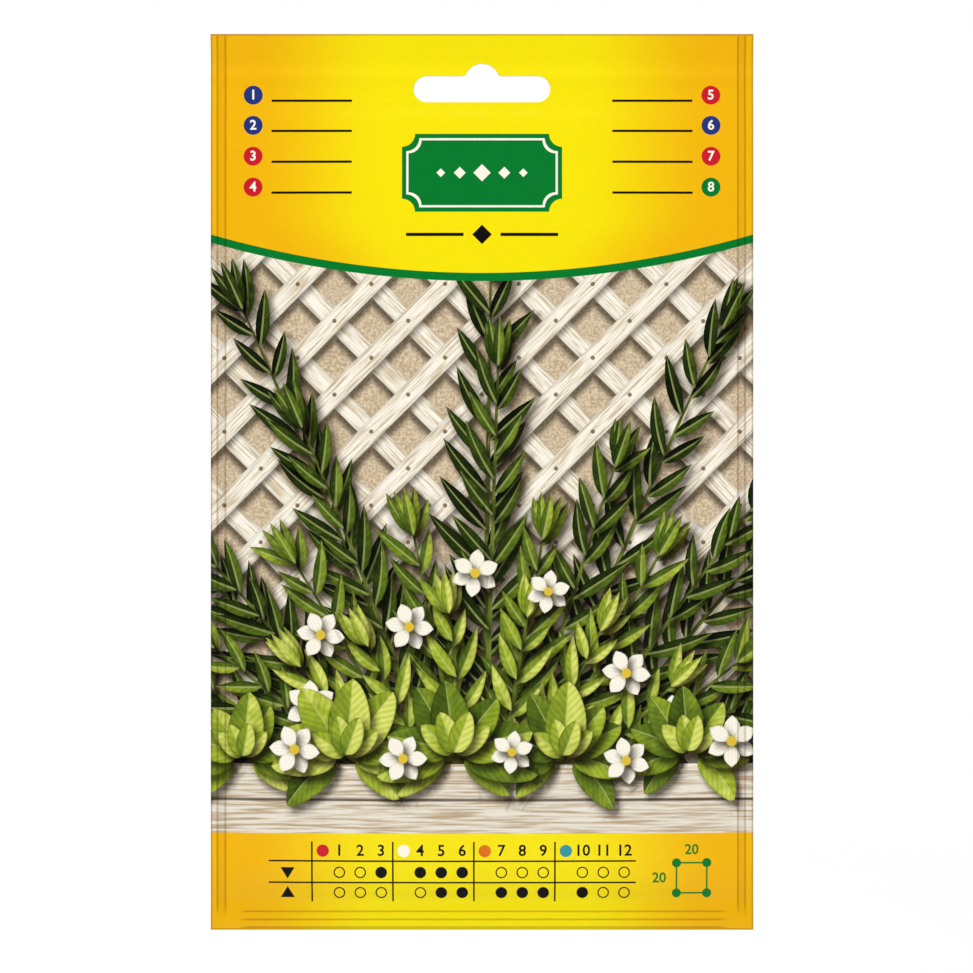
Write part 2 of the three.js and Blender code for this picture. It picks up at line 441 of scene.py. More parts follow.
def rim_of(triangles):
    """The open edges of a sheet, from point to point, and the loops that they make: the packet's
    outline first, and then the slot."""
    sides = {(a, b) for t in triangles for a, b in zip(t, t[1:] + t[:1])}
    rim = {a: b for a, b in sorted(sides) if (b, a) not in sides}
    loops, waiting = [], set(rim)
    while waiting:
        loop = [min(waiting)]
        while rim[loop[-1]] != loop[0]:
            loop.append(rim[loop[-1]])
        waiting -= set(loop)
        loops.append(loop)
    return rim, sorted(loops, key=len, reverse=True)


def inner_sheet(outer, rim, loops):
    """The plainer inner face, still flat: its points, its triangles, and the number of the inner
    point under each point of the printed face's rim."""
    rim_points = [i for loop in loops for i in loop]
    place = {old: new for new, old in enumerate(rim_points)}
    edges = [(place[a], place[b]) for a, b in rim.items()]
    hull_and_hole = [[place[i] for i in loops[0]], [place[i] for i in reversed(loops[1])]]
    points = [Vector(outer[i]) for i in rim_points]
    low = (left + INNER_MARGIN_MM, bottom + INNER_MARGIN_MM)
    high = (right - INNER_MARGIN_MM, top - INNER_MARGIN_MM)
    for line in relief_lines():
        line = [(x, np.clip(z, low[1], high[1])) for x, z in line]
        walked = stepped(line, INNER_GRID_MM, closed=False)
        first = len(points)
        points += [Vector((np.clip(x, low[0], high[0]), z)) for x, z in walked]
        edges += [(first + i, first + i + 1) for i in range(len(walked) - 1)]
    points += [Vector(p) for p in grid_of(INNER_GRID_MM, *INNER_GRID_BOX_MM)]
    made = delaunay_2d_cdt(points, edges, hull_and_hole, 0, 1e-6, True)
    flat_points, _, triangles, origin, _, cover = made
    used, triangles = drop_unused([t for t, c in zip(triangles, cover) if 0 in c and 1 not in c])
    under = {
        rim_points[i]: new
        for new, old in enumerate(used)
        for i in origin[old]
        if i < len(rim_points)
    }
    return np.array([flat_points[i][:] for i in used]), triangles, under


def corner_vertices(mesh):
    vertex = np.empty(len(mesh.loops), int)
    mesh.loops.foreach_get("vertex_index", vertex)
    return vertex


def smooth_normals(mesh, face, verts, outward, outer_points, edge_faces):
    """Gives the mesh the normals of the smooth form, so that its small triangles never show. The cut
    edges keep their own."""
    x, _, z = verts.T
    step = NORMAL_STEP_MM
    slope_x = (face(x + step, z) - face(x - step, z)) / (2 * step)
    slope_z = (face(x, z + step) - face(x, z - step)) / (2 * step)
    normal = np.column_stack([slope_x, -np.ones(len(verts)), slope_z]) * -outward
    normal /= np.linalg.norm(normal, axis=1)[:, None]
    vertex = corner_vertices(mesh)
    corner_normal = normal[vertex]
    corner_normal[vertex >= outer_points] *= -1
    face_normal = np.empty(3 * len(mesh.polygons))
    mesh.polygon_normals.foreach_get("vector", face_normal)
    face_normal = face_normal.reshape(-1, 3)[len(mesh.polygons) - edge_faces:]
    corner_normal[len(vertex) - 4 * edge_faces:] = np.repeat(face_normal, 4, axis=0)
    mesh.polygons.foreach_set("use_smooth", [True] * len(mesh.polygons))
    mesh.normals_split_custom_set(corner_normal.tolist())


def web_object(name, face, outward, shapes, grid, inks):
    """A web as one closed thin sheet: the printed face cut along its print, a plainer inner face and
    the cut edges between them. outward is -1 for a face towards -Y and 1 for one towards +Y. With it
    come the flat place of each printed corner and the number of the shape that covers it."""
    flat_points, triangles, covering = cut_flat(shapes, grid)
    used, triangles = drop_unused(triangles)
    outer = np.array([flat_points[i][:] for i in used])
    rim, loops = rim_of(triangles)
    inner, inner_triangles, under = inner_sheet(outer, rim, loops)

    shift = len(outer)
    x, z = np.concatenate([outer, inner]).T
    y = face(x, z)
    y[shift:] -= outward * FILM_MM
    verts = np.column_stack([x, y, z])
    inner_faces = [[i + shift for i in reversed(t)] for t in inner_triangles]
    edge_faces = [[b, a, under[a] + shift, under[b] + shift] for a, b in sorted(rim.items())]
    faces = triangles + inner_faces + edge_faces
    if outward > 0:
        faces = [list(reversed(f)) for f in faces]
    mesh = bpy.data.meshes.new(name)
    mesh.from_pydata((verts * MM).tolist(), [], faces)

    # Each triangle wears the ink of the last shape that covers it, and the cut film shows elsewhere.
    names = list(inks)
    for ink in names:
        mesh.materials.append(inks[ink])
    ink_of = [printed["ink"] for printed in shapes]
    worn = [names.index(ink_of[c] if c >= 0 else "ground") for c in covering]
    worn += [names.index("film")] * (len(faces) - len(triangles))
    mesh.polygons.foreach_set("material_index", worn)

    smooth_normals(mesh, face, verts, outward, shift, len(edge_faces))
    # The "pressed" attribute holds how much the print is darkened: painted shade in the jaws' grooves, a
    # little between the side grooves.
    painted_shade_layer = mesh.attributes.new("pressed", "FLOAT", "POINT")
    painted_shade_layer.data.foreach_set("value", weld_shade(x, z))
    lay_out_for_baking(mesh, verts, len(triangles), len(inner_faces))
    piece = bpy.data.objects.new(name, mesh)
    bpy.context.collection.objects.link(piece)
    printed_vertices = corner_vertices(mesh)[: 3 * len(triangles)]
    return piece, np.column_stack([x, z])[printed_vertices], np.repeat(covering, 3)


def lay_out_for_baking(mesh, verts, outer_count, inner_count):
    """A flat map: the printed face at full height, the inner face smaller beside it, and the cut
    edges side by side in what is left."""
    printed_share, margin = 0.98, 0.01
    inner_share, inner_start = 0.58, (0.62, 0.01)
    strips_share, strips_start, strip_share = 0.35, (0.63, 0.64), 0.28
    flat = (verts[corner_vertices(mesh)][:, (0, 2)] - (left, bottom)) / (top - bottom)
    places = margin + printed_share * flat
    first, last = 3 * outer_count, 3 * (outer_count + inner_count)
    places[first:last] = flat[first:last] * inner_share + inner_start
    strips = (len(mesh.loops) - last) // 4
    per_row = math.ceil(math.sqrt(strips))
    wide = strip_share / per_row
    for i in range(strips):
        u = strips_start[0] + strips_share * (i % per_row) / per_row
        v = strips_start[1] + strips_share * (i // per_row) / per_row
        start = last + 4 * i
        places[start:start + 4] = [(u, v), (u + wide, v), (u + wide, v + wide), (u, v + wide)]
    layer = mesh.uv_layers.new(name="OFBake")
    layer.data.foreach_set("uv", places.ravel())


# The print on the front: a yellow header and foot round a picture, with a green stripe between.
# Every shape is an outline with an ink, and a later shape lies over the earlier ones.
STRIPE_EDGE_MM = -31.5
STRIPE_SAG_MM = 7.2
STRIPE_HEIGHT_MM = 1.5
PICTURE_FOOT_MM = bottom + 17.9


def counterclockwise(points):
    area = sum(ax * bz - bx * az for (ax, az), (bx, bz) in zip(points, points[1:] + points[:1]))
    return points if area > 0 else points[::-1]


def shape(outline, ink, step=1.2):
    return {"outline": counterclockwise(stepped(outline, step)), "ink": ink}


def disc(x, z, radius, ink, steps=28):
    return shape(arc((x, z), radius, 0, 2 * math.pi * (1 - 1 / steps), steps - 1), ink)


def bar(x0, z0, x1, z1, ink):
    return shape([(x0, z0), (x1, z0), (x1, z1), (x0, z1)], ink)


def rule(x0, x1, z, half, ink):
    """A level line of ink, with half its thickness."""
    return bar(x0, z - half, x1, z + half, ink)


def stripe_edge(drop=0.0, steps=60):
    """The green stripe's upper edge, which sags towards the middle, or a line that drops below it."""
    spread = [left + (right - left) * i / steps for i in range(steps + 1)]
    sag = [STRIPE_SAG_MM * (1 - (2 * x / (right - left)) ** 2) for x in spread]
    return [(x, STRIPE_EDGE_MM - down - drop) for x, down in zip(spread, sag)]


def stripe_shape():
    return shape([*stripe_edge(), *reversed(stripe_edge(STRIPE_HEIGHT_MM))], "green", step=2.5)


SLIVER_MM2 = 1e-4
FIGURE_BOLD_MM = 0.055


def numerals(text, size, x, z, ink):
    """Plain figures as shapes, from their filled outlines."""
    curve = bpy.data.curves.new("figures", "FONT")
    curve.body, curve.size, curve.resolution_u = text, size, 3
    curve.offset = FIGURE_BOLD_MM
    curve.align_x, curve.align_y = "CENTER", "CENTER"
    writer = bpy.data.objects.new("figures", curve)
    drawn = bpy.data.meshes.new_from_object(writer)
    made = [
        shape([(x + drawn.vertices[i].co.x, z + drawn.vertices[i].co.y) for i in p.vertices], ink)
        for p in drawn.polygons
        if p.area > SLIVER_MM2
    ]
    bpy.data.objects.remove(writer)
    bpy.data.curves.remove(curve)
    bpy.data.meshes.remove(drawn)
    return made


# The picture is a fan of herb sprigs in front of a garden trellis. A leaf is an outline round a
# slightly bent midrib, and it keeps its own frame, from which its midrib, veins and shade are inked.
LEAF_STEP_MM = 1.9
FEWEST_LEAF_STEPS, BROAD_LEAF_STEPS = 7, 14
BROAD_LEAF_POINT = 0.7


def half_width(u, leaf):
    """Half a leaf's width at a share of its length."""
    reach = np.sin(math.pi * np.clip(u, 0, 1) ** leaf["fullest"])
    return leaf["width"] / 2 * np.maximum(reach, 0) ** leaf["point"]


def ways(angle):
    """The ways along and across a leaf or a stem that leans by an angle from upright."""
    along, aside = (math.sin(angle), math.cos(angle)), (math.cos(angle), -math.sin(angle))
    return np.array(along), np.array(aside)


def round_trip(steps, blunt):
    """Sides and shares along, up one side and down the other. A blunt form has width at its ends."""
    up = [(1, i / steps) for i in range(steps + blunt)]
    return up + [(-1, i / steps) for i in range(steps, -blunt, -1)]


def leaf_shape(base, angle, length, width, tone, bend=0.0, fullest=0.8, point=0.9, ink="leaf"):
    leaf = {"base": base, "angle": angle, "length": length, "width": width}
    leaf |= {"bend": bend, "fullest": fullest, "tone": tone, "point": point}
    along, aside = ways(angle)
    fewest = BROAD_LEAF_STEPS if point < BROAD_LEAF_POINT else FEWEST_LEAF_STEPS
    steps = max(fewest, round(length / LEAF_STEP_MM))
    outline = []
    for side, u in round_trip(steps, blunt=0):
        across = side * float(half_width(u, leaf)) + bend * length * u * u
        outline.append(tuple(np.array(base) + along * (u * length) + aside * across))
    return {"outline": counterclockwise(outline), "ink": ink, "leaf": leaf}


def in_leaf(points, leaf):
    """Points in a leaf's own frame: the share along it, the millimetres beside its midrib, and the
    millimetres inside its edge, which are negative outside it."""
    away = points - np.array(leaf["base"])
    along, aside = ways(leaf["angle"])
    u = away @ along / leaf["length"]
    t = away @ aside - leaf["bend"] * leaf["length"] * np.clip(u, 0, 1) ** 2
    inside = np.minimum(half_width(u, leaf) - np.abs(t), leaf["length"] * np.minimum(u, 1 - u))
    return u, t, inside


STEM_HALF_MM = 0.65
STEM_STEPS = 14
LOWEST_PAIR, HIGHEST_PAIR, TIP = 0.2, 0.98, 0.985


def sprig(rng, base, angle, length, curve, leaf_length, leaf_width, pairs, tone):
    """A stem with pairs of slender leaves and a few at its tip."""
    along, aside = ways(angle)

    def at(u):
        return np.array(base) + along * length * u + aside * curve * length * u * u

    def heading(u):
        return angle + math.atan(2 * curve * u)

    stem = []
    for side, u in round_trip(STEM_STEPS, blunt=1):
        thick = STEM_HALF_MM * (1 - 0.7 * u) * side
        stem.append(tuple(at(u) + ways(heading(u))[1] * thick))
    made = [{"outline": counterclockwise(stem), "ink": "stem"}]
    for i in range(pairs):
        u = LOWEST_PAIR + (HIGHEST_PAIR - LOWEST_PAIR) * i / (pairs - 1)
        for side in (1, -1):
            place = u - 0.012 * side + rng.uniform(-0.012, 0.012)
            lean = heading(u) + side * (1.0 - 0.5 * u + rng.uniform(-0.2, 0.2))
            size = (1 - 0.45 * u) * rng.uniform(0.8, 1.2)
            made.append(leaf_shape(
                tuple(at(place)), lean, leaf_length * size, leaf_width * size**0.5,
                tone + rng.uniform(-0.13, 0.13), bend=-side * rng.uniform(0.02, 0.2),
            ))
    for lean in (-0.22, 0.22, 0.0):
        made.append(leaf_shape(
            tuple(at(TIP)), heading(1) + lean, leaf_length * 0.6, leaf_width * 0.7, tone + 0.08,
        ))
    return made


def blossom(rng, x, z, size):
    """An open flower of six petals."""
    turn = rng.uniform(0, math.pi / 3)
    made = []
    for i in (0, 2, 4, 1, 3, 5):
        angle = turn + i * math.pi / 3 + rng.uniform(-0.08, 0.08)
        made.append(leaf_shape((x, z), angle, size, size * 0.62, 0.0, fullest=1.25, ink="petal"))
    return made + [disc(x, z, size * 0.2, "pollen", 10)]


def blossoms(rng, count, reach, spread):
    """Blossoms along an arc round the sprigs' root."""
    made = []
    for i in range(count):
        lean = spread * (2 * i / (count - 1) - 1) + rng.uniform(-0.07, 0.07)
        away = reach * rng.uniform(0.86, 1.14)
        place = (away * math.sin(lean) * 1.05, ROOT_MM + away * math.cos(lean))
        made += blossom(rng, *place, rng.uniform(3.9, 4.9))
    return made


def leafy_clump(rng, x, z, size):
    """A low clump of broad leaves that hangs over the boards."""
    made = []
    for i in (0, 8, 1, 7, 2, 6, 3, 5, 4):
        lean = 2.15 * (i / 4 - 1) + rng.uniform(-0.12, 0.12)
        length = size * (1.0 - 0.08 * abs(lean)) * rng.uniform(0.88, 1.12)
        made.append(leaf_shape(
            (x + lean * 0.9, z + 0.4 * math.cos(lean)), lean, length, 0.56 * length,
            0.57 + rng.uniform(-0.18, 0.2), bend=0.12 * lean, fullest=0.78, point=0.6,
        ))
    for i in (0, 3, 1, 2):
        lean = 0.9 * (i / 1.5 - 1) + rng.uniform(-0.15, 0.15)
        made.append(leaf_shape(
            (x, z + 0.2), lean, 0.55 * size, 0.3 * size, 0.8 + rng.uniform(-0.06, 0.08), point=0.6,
        ))
    return made


PICTURE_DRAW = 11
ROOT_MM = PICTURE_FOOT_MM - 4
LEAFY_CLUMPS = ((-44, 11.5), (38, 12.5), (-25, 13.5), (15, 12.5), (-5, 14.5))
FOREMOST_BLOSSOMS = ((-34.5, 2.6), (-14.5, 1.0), (5.5, 2.2), (26.5, 0.6), (46, 4.0))
PLANK_TOP_MM = PICTURE_FOOT_MM + 12.8
SPRIG_ROWS = (
    # sprigs, widest lean, length, leaf length and width, pairs, tone
    (7, 1.10, 110, 16.5, 3.2, 14, 0.10),
    (7, 0.98, 86, 15.5, 3.1, 11, 0.27),
    (6, 0.84, 66, 15.0, 3.0, 9, 0.50),
    (6, 0.70, 48, 13.5, 3.0, 7, 0.74),
)


def picture_shapes():
    rng = random.Random(PICTURE_DRAW)
    made = []
    for count, widest, length, leaf_length, leaf_width, pairs, tone in SPRIG_ROWS:
        order = sorted(range(count), key=lambda i: -abs(i - (count - 1) / 2))
        for i in order:
            lean = widest * (2 * i / (count - 1) - 1)
            stem = length * (1 - 0.16 * abs(lean)) * rng.uniform(0.93, 1.07)
            base = (lean * 9, ROOT_MM - 1.5 * abs(lean))
            turn = lean * 0.86 + rng.uniform(-0.05, 0.05)
            made += sprig(rng, base, turn, stem, 0.12 * lean, leaf_length, leaf_width, pairs, tone)
    made += blossoms(rng, count=9, reach=46, spread=1.2)
    made.append(bar(left, PICTURE_FOOT_MM - 1, right, PLANK_TOP_MM, "plank"))
    for x, size in LEAFY_CLUMPS:
        made += leafy_clump(rng, x, PLANK_TOP_MM + rng.uniform(1.0, 2.2), size)
    for x, up in FOREMOST_BLOSSOMS:
        made += blossom(rng, x, PLANK_TOP_MM + up, rng.uniform(4.0, 4.8))
    return made


def header_and_foot_shapes():
    head = shape([(left, top), *stripe_edge(), (right, top)], "ground", step=2.5)
    foot = bar(left, bottom, right, PICTURE_FOOT_MM, "ground")
    return [head, foot, stripe_shape()]


# Above the stripe are a blank name plate and numbered lines to write on. The foot has a chart of the
# twelve months, with dots for sowing and picking, and a sign for the spacing of the plants.
PLATE_MM = (29.5, 14.4, 2.4)
PLATE_MIDDLE_MM = -20.2
PLATE_RIMS = ((0.0, "green"), (1.6, "cream"), (2.4, "green"))
PLATE_DIAMONDS = ((-7.6, 0.8), (-4.1, 1.1), (0, 1.6), (4.1, 1.1), (7.6, 0.8))
TITLE_BELOW_PLATE_MM = 4.2
TITLE_DIAMOND_MM = 1.8
TITLE_RULE_SPAN_MM = (3.4, 14)
TITLE_RULE_HALF_MM = 0.3
WRITE_IN_ROWS_MM = (-5.8, -11.4, -17.1, -22.8)
WRITE_IN_SPAN_MM = (24.0, 38.8)
WRITE_IN_DISC_X_MM = 42.2
WRITE_IN_DISC_MM = 1.75
WRITE_IN_FIGURE_MM = 2.5
WRITE_IN_LINE_MM = (-1.25, -0.82)
WRITE_IN_INKS = (("navy", "navy", "red", "red"), ("red", "navy", "red", "green"))


def ticket(wide, high, bite, middle):
    """A plate with a quarter circle bitten out of each corner."""
    x, z = wide / 2, high / 2
    turn = math.pi / 2
    outline = []
    for cx, cz, start in ((x, -z, 2 * turn), (x, z, 3 * turn), (-x, z, 0.0), (-x, -z, turn)):
        outline += arc((cx, middle + cz), bite, start, start - turn, 8)
    return outline


def diamond(x, z, size, ink):
    return shape([(x - size, z), (x, z - size), (x + size, z), (x, z + size)], ink)


def plate_shapes():
    wide, high, bite = PLATE_MM
    made = [
        shape(ticket(wide - rim, high - rim, bite, PLATE_MIDDLE_MM), ink) for rim, ink in PLATE_RIMS
    ]
    made += [diamond(x, PLATE_MIDDLE_MM, size, "cream") for x, size in PLATE_DIAMONDS]
    title = PLATE_MIDDLE_MM - high / 2 - TITLE_BELOW_PLATE_MM
    near, far = TITLE_RULE_SPAN_MM
    for side in (-1, 1):
        made.append(rule(side * near, side * far, title, TITLE_RULE_HALF_MM, "black"))
    return made + [diamond(0, title, TITLE_DIAMOND_MM, "black")]


def write_in_shapes():
    made = []
    (near, far), (low, high) = WRITE_IN_SPAN_MM, WRITE_IN_LINE_MM
    for column, side in enumerate((-1, 1)):
        for row, z in enumerate(WRITE_IN_ROWS_MM):
            x, number = side * WRITE_IN_DISC_X_MM, 1 + row + column * len(WRITE_IN_ROWS_MM)
            made.append(disc(x, z, WRITE_IN_DISC_MM, WRITE_IN_INKS[column][row]))
            made += numerals(str(number), WRITE_IN_FIGURE_MM, x, z, "cream")
            made.append(bar(side * near, z + low, side * far, z + high, "black"))
    return made


CHART_LEFT_MM = -31.3
CHART_ROWS_MM = (bottom + 14.7, bottom + 10.7, bottom + 6.9)
QUARTER_INKS = ("red", "cream", "orange", "teal")
QUARTER_MM = 14.9
QUARTER_DOT_MM = 1.15
MONTH_MM = 3.85
MONTH_FIGURE_MM = 2.9
MONTH_DOT_MM = 1.08
MONTH_RING_MM = 0.24
SOWING_MONTHS = range(2, 6)
PICKING_MONTHS = range(4, 10)
CHART_LINE_HALF_MM = 0.15
BED_FIGURE_MM = 2.6
BED_PLANT_MM = 0.85


def month_chart():
    """Numbers 1 to 12 over two rows of dots, filled in the months for sowing and for picking, with a
    coloured dot for each quarter of the year. An arrowhead down or up marks each row."""
    numbers, sow, pick = CHART_ROWS_MM
    line = CHART_LINE_HALF_MM
    made = [
        rule(CHART_LEFT_MM - 8, CHART_LEFT_MM + 4 * QUARTER_MM, level, line, "black")
        for level in ((numbers + sow) / 2 + 0.1, (sow + pick) / 2)
    ]
    for quarter, ink in enumerate(QUARTER_INKS):
        x = CHART_LEFT_MM + quarter * QUARTER_MM
        made.append(bar(x - line, pick - 1.7, x + line, numbers + 1.7, "black"))
        made.append(disc(x + 2.0, numbers, QUARTER_DOT_MM, ink, 20))
    for month in range(12):
        quarter, in_quarter = divmod(month, 3)
        x = CHART_LEFT_MM + (quarter + 0.5) * QUARTER_MM + 1.45 + (in_quarter - 1) * MONTH_MM
        made += numerals(str(month + 1), MONTH_FIGURE_MM, x, numbers, "black")
        for level, months in ((sow, SOWING_MONTHS), (pick, PICKING_MONTHS)):
            made.append(disc(x, level, MONTH_DOT_MM, "black", 20))
            if month not in months:
                made.append(disc(x, level, MONTH_DOT_MM - MONTH_RING_MM, "ground", 20))
    x = CHART_LEFT_MM - 4.5
    for level, way in ((sow, 1), (pick, -1)):
        base = level + way * 0.9
        made.append(shape([(x - 1.3, base), (x, level - way * 1.2), (x + 1.3, base)], "black"))
    return made


def bed_sign(x, z, size, ink):
    """A square bed with a plant at each corner and its spacing as a plain number on two sides."""
    half, line = size / 2, CHART_LINE_HALF_MM
    made = []
    for side in (-1, 1):
        made.append(rule(x - half, x + half, z + side * half, line, ink))
        made.append(bar(x + side * half - line, z - half, x + side * half + line, z + half, ink))
        for across in (-1, 1):
            made.append(disc(x + across * half, z + side * half, BED_PLANT_MM, ink, 16))
    made += numerals("20", BED_FIGURE_MM, x, z + half + 2.4, ink)
    return made + numerals("20", BED_FIGURE_MM, x - half - 3.2, z, ink)


# The inks lie under a clear gloss film. The film is a little wavy. Painted shade darkens the print
# in the jaws' pressed grooves and along the packet's cut edge, and the print is a little darker
# between the side grooves.
FILM_ROUGHNESS = 0.13
PAINTED_SEAL_SHADE = 0.55
CUT_EDGE_MM = 0.5
CUT_EDGE_PAINTED_SHADE = 0.6
RIPPLE_STRENGTH = 0.12
RIPPLE_MM = 0.02


def srgb(red, green, blue):
    """A printed colour, given as 8-bit values, in the renderer's linear scale."""
    shares = [value / 255 for value in (red, green, blue)]
    linear = [s / 12.92 if s <= 0.04045 else ((s + 0.055) / 1.055) ** 2.4 for s in shares]
    return (*linear, 1.0)


PAINTED_SHADE_TINT = srgb(150, 120, 96)


def calc(tree, operation, *values):
    """A Math node over sockets and numbers."""
    return add_node(tree, "ShaderNodeMath", dict(enumerate(values)), operation=operation).outputs[0]


def attribute(tree, name, output="Fac"):
    return add_node(tree, "ShaderNodeAttribute", attribute_name=name).outputs[output]


def parts(tree, vector):
    """The X, Y and Z of a vector."""
    return add_node(tree, "ShaderNodeSeparateXYZ", {0: vector}).outputs


def flat_vector(tree, x, y):
    return add_node(tree, "ShaderNodeCombineXYZ", {"X": x, "Y": y}).outputs[0]


def noise(tree, coordinates, scale, detail):
    grain = {"Vector": coordinates, "Scale": scale, "Detail": detail}
    return add_node(tree, "ShaderNodeTexNoise", grain).outputs["Fac"]


def bump(tree, height, strength, depth_mm):
    raised = {"Strength": strength, "Distance": depth_mm * MM, "Height": height}
    return add_node(tree, "ShaderNodeBump", raised).outputs["Normal"]


def toned(tree, colour, by):
    """A colour multiplied by a number or by another colour."""
    return blend_colours(tree, 1.0, colour, by, "MULTIPLY")


def new_finish(name, roughness):
    """A material, with its node tree and the inputs of its shader."""
    material = bpy.data.materials.new(name)
    material.use_nodes = True
    finish = material.node_tree.nodes["Principled BSDF"].inputs
    finish["Roughness"].default_value = roughness
    return material, material.node_tree, finish


def from_ends(tree, value, low, high):
    """How far a value lies inside the nearer of two ends."""
    from_middle = calc(tree, "ABSOLUTE", calc(tree, "SUBTRACT", value, (low + high) / 2))
    return calc(tree, "SUBTRACT", (high - low) / 2, from_middle)


def film_ink(name, colour_of):
    """A printed ink under gloss film. colour_of(tree, place) makes its colour, where place is the
    object's own coordinates in millimetres."""
    material, tree, finish = new_finish(name, FILM_ROUGHNESS)
    in_metres = {0: add_node(tree, "ShaderNodeTexCoord").outputs["Object"], "Scale": 1 / MM}
    place = add_node(tree, "ShaderNodeVectorMath", in_metres, operation="SCALE").outputs["Vector"]
    mottle = soft_step(tree, noise(tree, place, 1.4, 3), 0.3, 0.7, 0.98, 1.0)
    printed = toned(tree, colour_of(tree, place), mottle)
    x, _, z = parts(tree, place)
    # Painted shade along the packet's cut edge.
    from_cut = calc(tree, "MINIMUM", from_ends(tree, x, left, right), from_ends(tree, z, bottom, top))
    cut = soft_step(tree, from_cut, 0.0, CUT_EDGE_MM, CUT_EDGE_PAINTED_SHADE, 0.0)
    # Painted shade in the jaws' pressed grooves, and a little darkening between the side grooves.
    seal_shade = calc(tree, "MULTIPLY", attribute(tree, "pressed"), PAINTED_SEAL_SHADE)
    darker = toned(tree, printed, PAINTED_SHADE_TINT)
    colour = blend_colours(tree, calc(tree, "MAXIMUM", seal_shade, cut), printed, darker)
    tree.links.new(colour, finish["Base Color"])
    ripple = bump(tree, noise(tree, place, 0.8, 2), RIPPLE_STRENGTH, RIPPLE_MM)
    tree.links.new(ripple, finish["Normal"])
    return material


def flat_ink(red, green, blue):
    """One colour of ink, with the faint unevenness of solid print."""
    def colour(tree, place):
        uneven = soft_step(tree, noise(tree, place, 0.35, 2), 0.35, 0.65)
        thin = srgb(red * 0.985, green * 0.985, blue * 0.98)
        return blend_colours(tree, uneven, srgb(red, green, blue), thin)
    return colour


LEMON, GOLD = srgb(246, 227, 1), srgb(241, 181, 4)
LEMON_WITHIN_MM, GOLD_BEYOND_MM = 17.0, 43.0
GOLD_OVER_STRIPE_MM = 7.0
FOOT_PAINTED_SHADE = 0.93


def yellow_ink(tree, place):
    """Lemon in the middle of the packet, deepening to gold towards both sides, and more so just
    above the stripe. Painted shade makes the foot a little darker."""
    x, _, z = parts(tree, place)
    over_stripe = soft_step(tree, z, STRIPE_EDGE_MM + 4, STRIPE_EDGE_MM - 6, 0.0, GOLD_OVER_STRIPE_MM)
    in_header = calc(tree, "GREATER_THAN", z, PICTURE_FOOT_MM + 30)
    over_stripe = calc(tree, "MULTIPLY", over_stripe, in_header)
    from_middle = calc(tree, "ADD", calc(tree, "ABSOLUTE", x), over_stripe)
    golden = soft_step(tree, from_middle, LEMON_WITHIN_MM, GOLD_BEYOND_MM)
    # Painted shade: the yellow darkens towards the foot.
    foot_shade = soft_step(tree, z, bottom + 5, bottom + 14, FOOT_PAINTED_SHADE, 1.0)
    return toned(tree, blend_colours(tree, golden, LEMON, GOLD), foot_shade)


DEEP_SHADE = (0.055, 0.04, 0.022, 1.0)


def shaded(tree, colour, shade):
    """A colour under the painted shadow of what lies above it."""
    return blend_colours(tree, shade, colour, toned(tree, colour, DEEP_SHADE))


def in_leaf_shade(tree, colour):
    return shaded(tree, colour, parts(tree, attribute(tree, "leaf_look", "Vector"))["Y"])


def whitewashed(tree, first, second, detail, grain_span, pale, dark):
    """Whitewashed wood with its grain. first and second are the two ways over it, each with a scale."""
    stretched = flat_vector(tree, calc(tree, "MULTIPLY", *first), calc(tree, "MULTIPLY", *second))
    grain = soft_step(tree, noise(tree, stretched, 1.0, detail), *grain_span)
    return blend_colours(tree, grain, srgb(*pale), srgb(*dark))


TRELLIS_PITCH_MM = 9.6
SLAT_HALF_MM = 1.75
NAIL_MM = 0.34


def trellis_ink(tree, place):
    """Cream slats crossing in front of a linen-coloured ground, with soft shadows beside them."""
    x, _, z = parts(tree, place)
    rising = calc(tree, "MULTIPLY", calc(tree, "ADD", x, z), math.sqrt(0.5))
    falling = calc(tree, "MULTIPLY", calc(tree, "SUBTRACT", x, z), math.sqrt(0.5))

    def beside(across, shift=0.0):
        share = calc(tree, "DIVIDE", calc(tree, "ADD", across, shift), TRELLIS_PITCH_MM)
        from_slat = calc(tree, "ABSOLUTE", calc(tree, "SUBTRACT", calc(tree, "FRACT", share), 0.5))
        return calc(tree, "MULTIPLY", from_slat, TRELLIS_PITCH_MM)

    def slat(across, along):
        away = beside(across)
        wood = whitewashed(
            tree, (across, 2.6), (along, 0.16), 5, (0.42, 0.68), (250, 243, 228), (204, 184, 150)
        )
        rounded = soft_step(tree, away, 0.5 * SLAT_HALF_MM, SLAT_HALF_MM, 1.0, 0.80)
        mask = soft_step(tree, away, SLAT_HALF_MM - 0.05, SLAT_HALF_MM + 0.05, 1.0, 0.0)
        return toned(tree, wood, rounded), mask

    def slat_shadow(across, shift):
        return soft_step(tree, beside(across, shift), SLAT_HALF_MM - 0.5, SLAT_HALF_MM + 1.1, 1.0, 0.0)

    weave = soft_step(tree, noise(tree, place, 2.2, 3), 0.3, 0.7)
    linen = blend_colours(tree, weave, srgb(224, 205, 176), srgb(182, 160, 126))
    below = calc(tree, "MAXIMUM", slat_shadow(rising, 0.9), slat_shadow(falling, -1.1))
    seen = shaded(tree, linen, calc(tree, "MULTIPLY", below, 0.8))
    under, under_mask = slat(rising, falling)
    under = shaded(tree, under, calc(tree, "MULTIPLY", slat_shadow(falling, -0.7), 0.7))
    seen = blend_colours(tree, under_mask, seen, under)
    over, over_mask = slat(falling, rising)
    seen = blend_colours(tree, over_mask, seen, over)
    from_nail = vector_length(tree, flat_vector(tree, beside(rising), beside(falling)))
    nail = soft_step(tree, from_nail, NAIL_MM, NAIL_MM + 0.12, 0.85, 0.0)
    return in_leaf_shade(tree, blend_colours(tree, nail, seen, srgb(96, 70, 44)))


BOARD_GAP_DOWN_MM = 6.6


